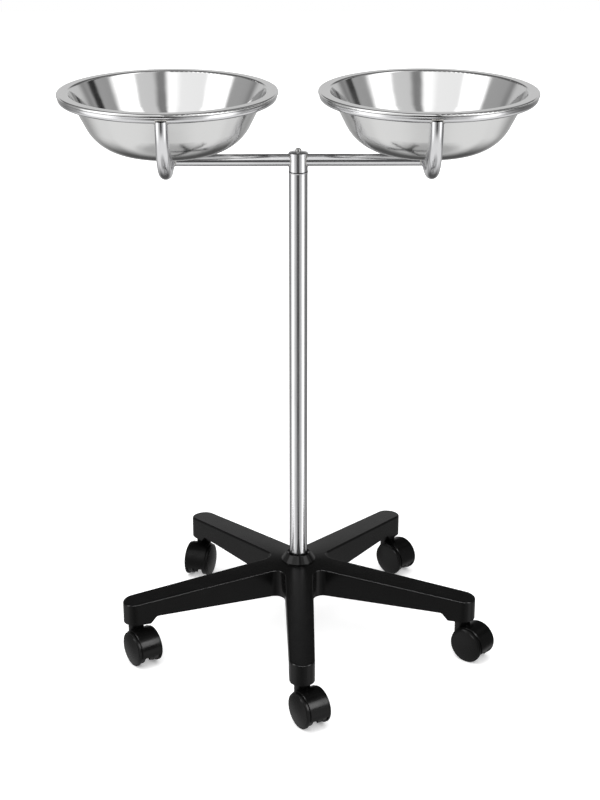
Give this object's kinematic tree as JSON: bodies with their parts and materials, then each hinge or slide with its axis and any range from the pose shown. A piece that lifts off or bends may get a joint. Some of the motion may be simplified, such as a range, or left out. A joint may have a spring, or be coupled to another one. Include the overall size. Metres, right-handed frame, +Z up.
{
  "type": "double basin stand",
  "caption": "Free-standing T-shaped stand that carries two round lift-out steel basins side by side on a five-arm castor base.",
  "frame": {"origin": "middle of the footprint on the floor, between the castors' reach to the front and to the back", "axes": "+Z up; +X from the left basin to the right one; +Y to the back, away from the arm that points at the viewer"},
  "size_m": [0.697, 0.5586, 0.881],
  "materials": {
    "stainless_tube": "polished stainless tube, fine lengthwise grain",
    "polished_basin": "spun stainless, mirror inside and satin outside",
    "black_nylon": "moulded black nylon, fine satin texture",
    "glossy_collar": "glossy black moulding",
    "castor_moulding": "glossy black moulding",
    "castor_wheel": "glossy black nylon wheel with a duller tread",
    "plain_steel": "bright plated steel"
  },
  "bodies": {
    "root": {"base_star": "black_nylon", "column_collar": "glossy_collar", "column": "stainless_tube", "column_foot_plug": "plain_steel", "column_spigot": "plain_steel", "base_bolt": "plain_steel", "base_washer": "plain_steel", "head_sleeve": "stainless_tube", "head_cap": "stainless_tube", "cap_screw": "plain_steel", "crossbar_left": "stainless_tube", "crossbar_right": "stainless_tube", "yoke_left": "stainless_tube", "yoke_right": "stainless_tube", "ring_left": "stainless_tube", "ring_right": "stainless_tube", "stem_front": "plain_steel", "grip_ring_front": "plain_steel", "stem_front_right": "plain_steel", "grip_ring_front_right": "plain_steel", "stem_back_right": "plain_steel", "grip_ring_back_right": "plain_steel", "stem_back_left": "plain_steel", "grip_ring_back_left": "plain_steel", "stem_front_left": "plain_steel", "grip_ring_front_left": "plain_steel"},
    "basin_left": {"basin_left": "polished_basin"},
    "basin_right": {"basin_right": "polished_basin"},
    "castor_front": {"castor_body_front": "castor_moulding", "castor_axle_front": "plain_steel"},
    "wheel_left_front": {"wheel_left_front": "castor_wheel"},
    "wheel_right_front": {"wheel_right_front": "castor_wheel"},
    "castor_front_right": {"castor_body_front_right": "castor_moulding", "castor_axle_front_right": "plain_steel"},
    "wheel_left_front_right": {"wheel_left_front_right": "castor_wheel"},
    "wheel_right_front_right": {"wheel_right_front_right": "castor_wheel"},
    "castor_back_right": {"castor_body_back_right": "castor_moulding", "castor_axle_back_right": "plain_steel"},
    "wheel_left_back_right": {"wheel_left_back_right": "castor_wheel"},
    "wheel_right_back_right": {"wheel_right_back_right": "castor_wheel"},
    "castor_back_left": {"castor_body_back_left": "castor_moulding", "castor_axle_back_left": "plain_steel"},
    "wheel_left_back_left": {"wheel_left_back_left": "castor_wheel"},
    "wheel_right_back_left": {"wheel_right_back_left": "castor_wheel"},
    "castor_front_left": {"castor_body_front_left": "castor_moulding", "castor_axle_front_left": "plain_steel"},
    "wheel_left_front_left": {"wheel_left_front_left": "castor_wheel"},
    "wheel_right_front_left": {"wheel_right_front_left": "castor_wheel"}
  },
  "joints": [
    {"name": "basin_left_lift", "type": "slide", "parent": "root", "child": "basin_left", "axis": [0, 0, 1], "range_m": [0, 0.12]},
    {"name": "basin_right_lift", "type": "slide", "parent": "root", "child": "basin_right", "axis": [0, 0, 1], "range_m": [0, 0.12]},
    {"name": "castor_front_swivel", "type": "hinge", "parent": "root", "child": "castor_front", "pos_m": [0.00282, -0.2292, 0], "axis": [0, 0, 1], "continuous": true},
    {"name": "wheel_left_front_roll", "type": "hinge", "parent": "castor_front", "child": "wheel_left_front", "pos_m": [0.01371, -0.24598, 0.0275], "axis": [0.8387, 0.5446, 0], "continuous": true},
    {"name": "wheel_right_front_roll", "type": "hinge", "parent": "castor_front", "child": "wheel_right_front", "pos_m": [0.01371, -0.24598, 0.0275], "axis": [0.8387, 0.5446, 0], "continuous": true},
    {"name": "castor_front_right_swivel", "type": "hinge", "parent": "root", "child": "castor_front_right", "pos_m": [0.25717, -0.04031, 0], "axis": [0, 0, 1], "continuous": true},
    {"name": "wheel_left_front_right_roll", "type": "hinge", "parent": "castor_front_right", "child": "wheel_left_front_right", "pos_m": [0.27271, -0.0529, 0.0275], "axis": [0.6293, 0.7771, 0], "continuous": true},
    {"name": "wheel_right_front_right_roll", "type": "hinge", "parent": "castor_front_right", "child": "wheel_right_front_right", "pos_m": [0.27271, -0.0529, 0.0275], "axis": [0.6293, 0.7771, 0], "continuous": true},
    {"name": "castor_back_right_swivel", "type": "hinge", "parent": "root", "child": "castor_back_right", "pos_m": [0.15612, 0.25996, 0], "axis": [0, 0, 1], "continuous": true},
    {"name": "wheel_left_back_right_roll", "type": "hinge", "parent": "castor_back_right", "child": "wheel_left_back_right", "pos_m": [0.17026, 0.24582, 0.0275], "axis": [0.7071, 0.7071, 0], "continuous": true},
    {"name": "wheel_right_back_right_roll", "type": "hinge", "parent": "castor_back_right", "child": "wheel_right_back_right", "pos_m": [0.17026, 0.24582, 0.0275], "axis": [0.7071, 0.7071, 0], "continuous": true},
    {"name": "castor_back_left_swivel", "type": "hinge", "parent": "root", "child": "castor_back_left", "pos_m": [-0.16068, 0.25664, 0], "axis": [0, 0, 1], "continuous": true},
    {"name": "wheel_left_back_left_roll", "type": "hinge", "parent": "castor_back_left", "child": "wheel_left_back_left", "pos_m": [-0.16653, 0.23752, 0.0275], "axis": [0.9563, -0.2924, 0], "continuous": true},
    {"name": "wheel_right_back_left_roll", "type": "hinge", "parent": "castor_back_left", "child": "wheel_right_back_left", "pos_m": [-0.16653, 0.23752, 0.0275], "axis": [0.9563, -0.2924, 0], "continuous": true},
    {"name": "castor_front_left_swivel", "type": "hinge", "parent": "root", "child": "castor_front_left", "pos_m": [-0.25542, -0.04568, 0], "axis": [0, 0, 1], "continuous": true},
    {"name": "wheel_left_front_left_roll", "type": "hinge", "parent": "castor_front_left", "child": "wheel_left_front_left", "pos_m": [-0.24424, -0.06226, 0.0275], "axis": [0.829, 0.5592, 0], "continuous": true},
    {"name": "wheel_right_front_left_roll", "type": "hinge", "parent": "castor_front_left", "child": "wheel_right_front_left", "pos_m": [-0.24424, -0.06226, 0.0275], "axis": [0.829, 0.5592, 0], "continuous": true}
  ]
}
